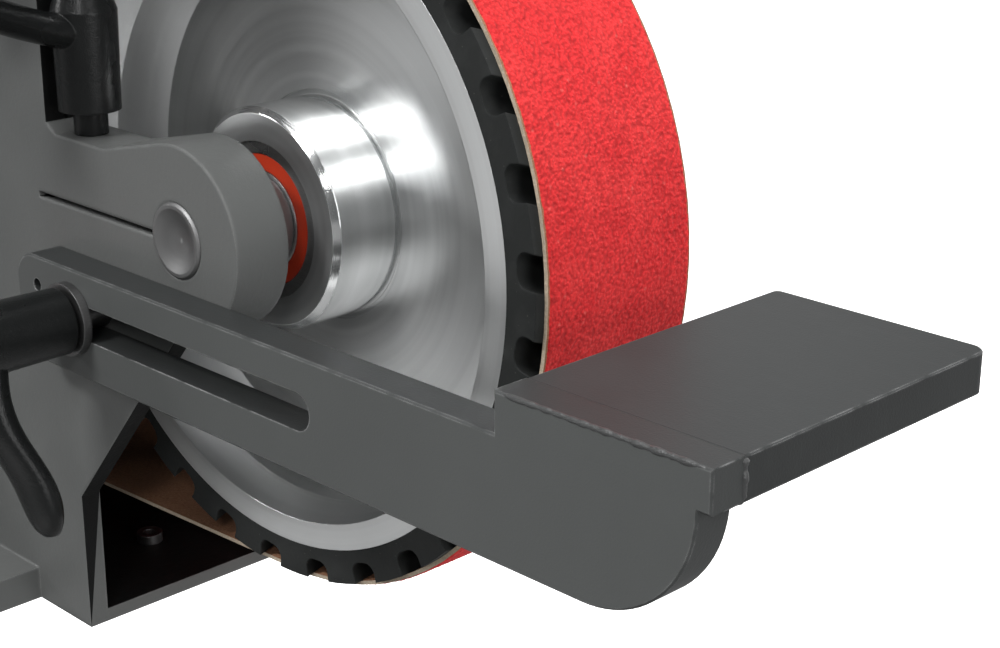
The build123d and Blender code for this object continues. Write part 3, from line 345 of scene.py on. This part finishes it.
seam_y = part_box("rest_table")[0].y
# the frame's rubbed edges run wider: partly wear, partly a painted highlight along its edges
frame_paint = painted(
    "frame_paint", (0.092, 0.095, 0.093), 0.40, bare=(0.24, 0.245, 0.24), specular=0.40, edge=0.0014
)
# near black: painted shade for the housing's inside, its cut front edges and the chute's floor
painted_shade_black = painted(
    "painted_shade_black", (0.006, 0.0062, 0.0062), 0.6, grain=0.0001, wear=0.2, bare=(0.04, 0.04, 0.04), specular=0.1
)
# pale: painted light on the inner face of the housing's side wall
painted_lit_wall = painted("painted_lit_wall", (0.62, 0.615, 0.605), 0.7, grain=0.00015, wear=0.0, specular=0.2)
sheet_paint = painted("sheet_paint", (0.125, 0.129, 0.127), 0.50)
stand_paint = painted("stand_paint", (0.090, 0.094, 0.094), 0.52, grain=0.0001)
motor_paint = painted("motor_paint", (0.060, 0.072, 0.080), 0.42, grain=0.00014)
# the bar's top is dark and its upright faces lighter: painted light
bar_coat = blackened(
    "bar_coat", (0.026, 0.0275, 0.0275), 0.40, seam_y, 0.12, lit_side_colour=(0.063, 0.066, 0.065)
)
table_coat = blackened("table_coat", (0.028, 0.0295, 0.0295), 0.40, seam_y, 0.09)
weld = painted("weld", (0.034, 0.035, 0.035), 0.40, grain=0.0002, wear=0.0)
lever_cast = painted(
    "lever_cast",
    (0.006, 0.0065, 0.0065),
    0.30,
    grain=0.00010,
    wear=0.3,
    bare=(0.06, 0.06, 0.06),
    specular=0.22,
)
wheel_metal = turned("wheel_metal", wheel, (0.72, 0.73, 0.73), 0.30, polish=(0.0306, 0.36))
drive_metal = turned("drive_metal", drive, (0.76, 0.77, 0.77), 0.22)
roller_metal = turned("roller_metal", roller, (0.74, 0.75, 0.75), 0.20)
axle_metal = turned(
    "axle_metal", wheel, (0.20, 0.20, 0.20), 0.50, ring=0.00003, scale=1500.0, anisotropic=0.2
)
steel = metal("steel", (0.55, 0.55, 0.55), 0.30)
zinc = metal("zinc", (0.62, 0.62, 0.60), 0.34, brush=(1.0, 1.0, 1.0), stain=0.4)
spring_wire = metal("spring_wire", (0.30, 0.30, 0.31), 0.35)
dark_steel = metal("dark_steel", (0.16, 0.16, 0.16), 0.40)
tyre_rubber = rubber("tyre_rubber", (0.014, 0.0152, 0.0148))
seal_rubber = rubber("seal_rubber", (0.38, 0.030, 0.010), 0.50)
belt_grit = grit("belt_grit")
belt_cloth = cloth("belt_cloth", (0.30, 0.15, 0.085))
belt_edge = cloth("belt_edge", (0.46, 0.38, 0.29), 1500.0)
black_plastic = plastic("black_plastic", (0.018, 0.018, 0.019), 0.38)
box_plastic = plastic("box_plastic", (0.17, 0.175, 0.175), 0.45, 0.00008)
green_plastic = plastic("green_plastic", (0.02, 0.24, 0.06), 0.28, 0.00002)
red_plastic = plastic("red_plastic", (0.50, 0.012, 0.01), 0.28, 0.00002)

finish_of = {
    frame_paint: "frame_body",
    sheet_paint: "belt_door top_guard dust_spigot hinge_brackets door_posts",
    stand_paint: "stand stand_cover",
    motor_paint: "motor_body motor_flange motor_cowl terminal_box terminal_lid",
    bar_coat: "rest_bracket",
    table_coat: "rest_table",
    lever_cast: "clamp_lever rest_lever",
    wheel_metal: "wheel_hub",
    drive_metal: "drive_hub",
    roller_metal: "tension_roller",
    axle_metal: "wheel_axle axle_sleeve axle_end_screw",
    steel: "wheel_bearing_inner_rings wheel_bearing_outer_rings roller_axle roller_bearing_inner_rings "
    "roller_bearing_outer_rings hinge_pins guard_pin motor_rotor pivot_shaft pivot_bush "
    "tension_handle button_bezels drive_bolt",
    zinc: "panel_screws bed_bolts motor_bolts",
    dark_steel: "rest_stud clamp_stud tension_arm chute_screws rest_washer",
    spring_wire: "tension_spring",
    tyre_rubber: "wheel_tyre drive_tyre",
    seal_rubber: "wheel_bearing_seals roller_bearing_seals",
    belt_cloth: "abrasive_belt",
    black_plastic: "tension_ball tracking_knob door_knob_front door_knob_rear motor_fan cable_glands",
    box_plastic: "switch_box",
    green_plastic: "start_button",
    red_plastic: "stop_button emergency_button",
}
for material, names in finish_of.items():
    for name in names.split():
        mesh = nodes[name].data
        mesh.materials.clear()
        mesh.materials.append(material)


# The housing's inside, its cut front edges and the chute's floor are painted near black, as painted shade
# where little light reaches.
# The inner face of its side wall is painted pale, as painted light falling on it. The outline is in the side
# wall's plane, as (x, z).
OUTLINE = [(0.3275, 0.899), (0.3235, 1.19), (0.060, 1.302), (-0.112, 1.02), (-0.112, 0.899)]
WALL_INSIDE = 0.0354       # y of the side wall's inner face
NEAR_WALL = 0.06           # faces this side of it, turned to the door, belong to the wall
DOOR_SIDE = 0.132          # y where the door closes the housing
MOUTH = 0.30               # x beyond which a forward face is a cut edge
MOUTH_TOP_END = 0.335      # x where the housing ends above the arm
MOUTH_LOW_END = 0.3795     # x where the chute's cheek ends below the arm
CHUTE_START = 0.27         # x from which the chute's floor is seen
CHUTE_SIDES = (0.036, 0.131)
CHUTE_TOP = 0.93           # the chute's floor lies below this z
CHEEK = (0.915, 1.004)     # z of the cheek's cut edge, from bottom plate to arm
ARM_TOP = 1.05
AHEAD = 0.004              # how far in front of a face its surroundings are tested
TURNED = 0.6               # a face looks along an axis when its normal has this much of it
SQUARE = 0.7
SHADE_BLACK, LIT_WALL = 1, 2       # places in the frame's list of materials
frame_mesh = nodes["frame_body"].data
frame_mesh.materials.append(painted_shade_black)
frame_mesh.materials.append(painted_lit_wall)


def inside_housing(x, z):
    pairs = zip(OUTLINE, OUTLINE[1:] + OUTLINE[:1])
    return all((bx - ax) * (z - az) - (bz - az) * (x - ax) >= 0 for (ax, az), (bx, bz) in pairs)


def gets_painted_shade(face):
    """True for faces that get painted shade: inside the housing, on its cut front edges and on the chute's
    floor.
    """
    spot, facing = face.center, face.normal
    ahead = spot + facing * AHEAD
    if WALL_INSIDE < ahead.y < DOOR_SIDE and inside_housing(ahead.x, ahead.z):
        return True
    if facing.x > TURNED:
        below_arm = MOUTH < spot.x < MOUTH_LOW_END and CHEEK[0] < spot.z < CHEEK[1]
        above_arm = MOUTH < spot.x < MOUTH_TOP_END and spot.z > ARM_TOP
        return below_arm or above_arm
    on_floor = facing.z > SQUARE and spot.z < CHUTE_TOP and spot.x > CHUTE_START
    return on_floor and CHUTE_SIDES[0] < spot.y < CHUTE_SIDES[1]


# painted shade in near black; the side wall's inner face gets painted light in pale instead
for face in frame_mesh.polygons:
    if gets_painted_shade(face):
        on_wall = face.normal.y > SQUARE and face.center.y < NEAR_WALL
        face.material_index = LIT_WALL if on_wall else SHADE_BLACK

# the belt's cut edges show the pale backing and glue
belt_mesh = nodes["abrasive_belt"].data
belt_mesh.materials.append(belt_edge)
for face in belt_mesh.polygons:
    if abs(face.normal.y) > SQUARE:
        face.material_index = 1

# ---------------------------------------------------------------- the belt's coated face
FINE_STEP = 0.0005
COARSE_STEP = 0.003
GRAIN_GAP = 0.00005        # how far above the cloth the grain's base runs
GRAIN_INSET = 0.0002       # how far inside the belt's edges the grain ends
# noise per metre: the slow wander and the fraying of an edge, the grain's lumps and points
WANDER, FRAYED, LUMPS, POINTS = 150, 900, 820, 1500


def belt_route(gap):
    """Closed line round the three wheels, gap outside their running surfaces, as (x, z, nx, nz).

    The steps are finer round the contact wheel, where the belt's face is seen.
    """
    rounds = [
        (wheel, radius_of("wheel_tyre") + gap),
        (roller, radius_of("tension_roller") + gap),
        (drive, radius_of("drive_tyre") + gap),
    ]
    angles = []
    for (a, ra), (b, rb) in zip(rounds, rounds[1:] + rounds[:1]):
        dx, dz = b.x - a.x, b.z - a.z
        along = math.atan2(dz, dx)
        angles.append(along - math.acos((ra - rb) / math.hypot(dx, dz)))
    points = []
    for i, (centre, r) in enumerate(rounds):
        start, end = angles[i - 1], angles[i]
        while end < start:
            end += 2 * math.pi
        fine = FINE_STEP if i == 0 else COARSE_STEP
        steps = max(2, int(r * (end - start) / fine))
        for k in range(steps + 1):
            t = start + (end - start) * k / steps
            points.append((centre.x + r * math.cos(t), centre.z + r * math.sin(t), math.cos(t), math.sin(t)))
        after, r_after = rounds[(i + 1) % 3]
        x1, z1 = points[-1][:2]
        x2, z2 = after.x + r_after * math.cos(end), after.z + r_after * math.sin(end)
        runs = max(2, int(math.hypot(x2 - x1, z2 - z1) / COARSE_STEP))
        for k in range(1, runs):
            t = k / runs
            points.append((x1 + (x2 - x1) * t, z1 + (z2 - z1) * t, math.cos(end), math.sin(end)))
    return points


def strip(name, route, low, high, columns, relief, fray, skirt, material):
    """A closed band following the route, its surface raised by noise and its edges slightly ragged.

    The outermost columns of vertices dip by skirt, into the belt's cloth.
    """
    made = bmesh.new()
    rows = []
    for x, z, nx, nz in route:
        wander = 0.4 * noise.noise(Vector((x, 1, z)) * WANDER)
        near = low + fray * (0.5 + 0.5 * noise.noise(Vector((x, low, z)) * FRAYED) + wander)
        far = high - fray * (0.5 + 0.5 * noise.noise(Vector((x, high, z)) * FRAYED))
        row = []
        for k in range(columns + 1):
            y = near + (far - near) * k / columns
            place = Vector((x, y, z))
            lump, point = noise.noise(place * LUMPS), noise.noise(place * POINTS)
            up = relief * (1.4 + 0.8 * lump + 0.9 * point)
            if k in (0, columns):
                up = -skirt
            row.append(made.verts.new((x + nx * up, y, z + nz * up)))
        rows.append(row)
    for a, b in zip(rows, rows[1:] + rows[:1]):
        for k in range(columns):
            face = made.faces.new((a[k], b[k], b[k + 1], a[k + 1]))
            face.smooth = True
    mesh = bpy.data.meshes.new(name)
    made.to_mesh(mesh)
    made.free()
    mesh.materials.append(material)
    piece = bpy.data.objects.new(name, mesh)
    scene.collection.objects.link(piece)
    return piece


# ---------------------------------------------------------------- camera, floor and light
# lens, place and directions follow from a fit to the machine's edges in the photograph
LENS_MM = 69.75
SENSOR_MM = 36.0
EYE = (0.77166, -0.24357, 1.17119)
camera_data = bpy.data.cameras.new("camera")
camera_data.lens = LENS_MM
camera_data.sensor_width = SENSOR_MM
camera_data.clip_start = 0.01
camera_data.clip_end = 100.0
camera = bpy.data.objects.new("camera", camera_data)
scene.collection.objects.link(camera)
right = Vector((0.703644, 0.710550, 0.001756))
up = Vector((-0.234169, 0.229559, 0.944705))
forward = Vector((-0.670857, 0.665147, -0.327917))
turn = Matrix((right, up, -forward)).transposed().to_4x4()
camera.matrix_world = Matrix.Translation(EYE) @ turn
scene.camera = camera

floor_mesh = bpy.data.meshes.new("floor")
floor_build = bmesh.new()
FLOOR_HALF = 30.0          # half the floor's side
signs = ((-1, -1), (1, -1), (1, 1), (-1, 1))
corners = [floor_build.verts.new((FLOOR_HALF * a, FLOOR_HALF * b, 0.0)) for a, b in signs]
floor_build.faces.new(corners)
floor_build.to_mesh(floor_mesh)
floor_build.free()
floor_shader = Shader("floor")
floor_tone = floor_shader.ramp(floor_shader.noise(3.0, 4.0), 0.86, 0.90)
floor_mesh.materials.append(floor_shader.finish(floor_tone, 0.8, specular=0.1))
# the floor bounces little light back, as if the object stood high above a studio floor
bounce = floor_shader.node("ShaderNodeBsdfDiffuse")
floor_shader.bsdf.inputs["Emission Color"].default_value = (1, 1, 1, 1)
floor_shader.bsdf.inputs["Emission Strength"].default_value = 0.6
bounce.inputs["Color"].default_value = (0.25, 0.25, 0.25, 1)
ray = floor_shader.node("ShaderNodeLightPath")
pick = floor_shader.node("ShaderNodeMixShader")
floor_shader.link(ray.outputs["Is Camera Ray"], pick.inputs[0])
floor_shader.link(bounce.outputs[0], pick.inputs[1])
floor_shader.link(floor_shader.bsdf.outputs[0], pick.inputs[2])
floor_shader.link(pick.outputs[0], floor_shader.out.inputs["Surface"])
floor = bpy.data.objects.new("floor", floor_mesh)
scene.collection.objects.link(floor)


target = Vector((0.38, 0.05, 1.03))   # the lamps point at the wheel's boss


def towards(direction, distance):
    return target + Vector(direction).normalized() * distance


def softbox(name, place, width, height, power):
    light = bpy.data.lights.new(name, "AREA")
    light.shape = "RECTANGLE"
    light.size = width
    light.size_y = height
    light.energy = power
    lamp = bpy.data.objects.new(name, light)
    lamp.location = place
    lamp.rotation_euler = (target - place).to_track_quat("-Z", "Y").to_euler()
    scene.collection.objects.link(lamp)


# name, direction from the wheel, distance, width, height, watts
SOFTBOXES = [
    # the three keys make the highlights on the wheel's boss
    ("key_right", (0.54, -0.67, 0.52), 2.4, 0.42, 0.42, 13),
    ("key_top", (-0.05, -0.67, 0.745), 2.4, 0.62, 0.34, 41),
    ("key_left", (-0.72, -0.67, 0.24), 2.4, 0.28, 0.26, 9),
    # the wheel's web and rim mirror this one
    ("front_wall", (-0.70, -0.67, -0.22), 2.0, 1.7, 1.1, 1.2),
    ("low", (0.20, -0.70, -0.66), 1.15, 1.0, 0.5, 0.9),
    ("right", (0.95, -0.05, 0.22), 2.2, 1.2, 1.5, 26),
    ("rear", (-0.60, 0.70, 0.40), 2.6, 1.2, 1.0, 5),
    ("back", (0.22, 0.95, 0.20), 2.8, 2.6, 2.6, 46),
]
for name, direction, distance, width, height, power in SOFTBOXES:
    softbox(name, towards(direction, distance), width, height, power)
sun = bpy.data.lights.new("overhead", "SUN")
sun.energy = 3.7
sun.angle = math.radians(70)
overhead = bpy.data.objects.new("overhead", sun)
scene.collection.objects.link(overhead)

# the room is white to the camera and dim to everything else
world = bpy.data.worlds.new("studio")
scene.world = world
world.use_nodes = True
tree = world.node_tree
tree.nodes.clear()
seen = tree.nodes.new("ShaderNodeLightPath")
plain = tree.nodes.new("ShaderNodeBackground")
plain.inputs["Color"].default_value = (1, 1, 1, 1)
room = tree.nodes.new("ShaderNodeBackground")
room.inputs["Color"].default_value = (0.93, 0.97, 1.0, 1)
room.inputs["Strength"].default_value = 0.08
choose = tree.nodes.new("ShaderNodeMixShader")
surface = tree.nodes.new("ShaderNodeOutputWorld")
tree.links.new(seen.outputs["Is Camera Ray"], choose.inputs[0])
tree.links.new(room.outputs[0], choose.inputs[1])
tree.links.new(plain.outputs[0], choose.inputs[2])
tree.links.new(choose.outputs[0], surface.inputs["Surface"])
scene.view_settings.view_transform = "Standard"

# ---------------------------------------------------------------- the belt's grain
belt_low, belt_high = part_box("abrasive_belt")
thickness = belt_high.x - (wheel.x + radius_of("wheel_tyre"))
grain_face = strip(
    "belt_grain",
    belt_route(thickness + GRAIN_GAP),
    belt_low.y + GRAIN_INSET,
    belt_high.y - GRAIN_INSET,
    columns=125,
    relief=0.00013,
    fray=0.0004,
    skirt=0.0003,
    material=belt_grit,
)
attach(grain_face, "frame")


# ---------------------------------------------------------------- weld between the rest's bar and its table
def bead(name, start, end, radius, lump):
    """A ground weld: a low tube from start to end whose radius swells by the share lump."""
    step, sides = 0.0004, 14
    slow, quick = 420, 1300    # noise per metre of the swelling and of the ripples on it
    start, end = Vector(start), Vector(end)
    along = (end - start).normalized()
    side = along.orthogonal().normalized()
    over = along.cross(side)
    count = max(8, int((end - start).length / step))
    made = bmesh.new()
    rows = []
    for i in range(count + 1):
        t = i / count
        centre = start.lerp(end, t)
        swell = 1 + lump * noise.noise(centre * slow) + 0.5 * lump * noise.noise(centre * quick)
        swell *= radius * min(1.0, 0.35 + 8 * min(t, 1 - t))   # thinner towards both ends
        row = []
        for k in range(sides):
            angle = 2 * math.pi * k / sides
            row.append(made.verts.new(centre + swell * (math.cos(angle) * side + math.sin(angle) * over)))
        rows.append(row)
    for a, b in zip(rows, rows[1:]):
        for k in range(sides):
            face = made.faces.new((a[k], a[(k + 1) % sides], b[(k + 1) % sides], b[k]))
            face.smooth = True
    made.faces.new(rows[0][::-1])
    made.faces.new(rows[-1])
    bmesh.ops.recalc_face_normals(made, faces=made.faces)
    mesh = bpy.data.meshes.new(name)
    made.to_mesh(mesh)
    made.free()
    mesh.materials.append(weld)
    piece = bpy.data.objects.new(name, mesh)
    scene.collection.objects.link(piece)
    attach(piece, "tool_rest")


bar_low, bar_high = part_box("rest_bracket")
table_low, table_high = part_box("rest_table")
INSET = 0.0005             # how far inside an edge a bead's middle line runs
SHORT = 0.001              # how far before a corner the front bead stops
END_SHORT = 0.0003
UNDER_SHORT = (0.002, 0.0012)   # how far before the table's ends the lower bead stops
UNDER_BEHIND = 0.0008      # how far behind the seam it runs
UNDER_BELOW = (0.0008, 0.0004)  # how far below the table it runs, at its two ends
bead(
    "weld_front",
    (table_low.x + SHORT, bar_low.y + INSET, table_high.z - INSET),
    (table_high.x - SHORT, bar_low.y + INSET, table_high.z - INSET),
    radius=0.0007,
    lump=0.3,
)
bead(
    "weld_end",
    (table_high.x - INSET, seam_y, table_low.z + END_SHORT),
    (table_high.x - INSET, seam_y, table_high.z - END_SHORT),
    radius=0.0009,
    lump=0.6,
)
bead(
    "weld_under",
    (table_low.x + UNDER_SHORT[0], seam_y + UNDER_BEHIND, table_low.z - UNDER_BELOW[0]),
    (table_high.x - UNDER_SHORT[1], seam_y + UNDER_BEHIND, table_low.z - UNDER_BELOW[1]),
    radius=0.0022,
    lump=0.3,
)
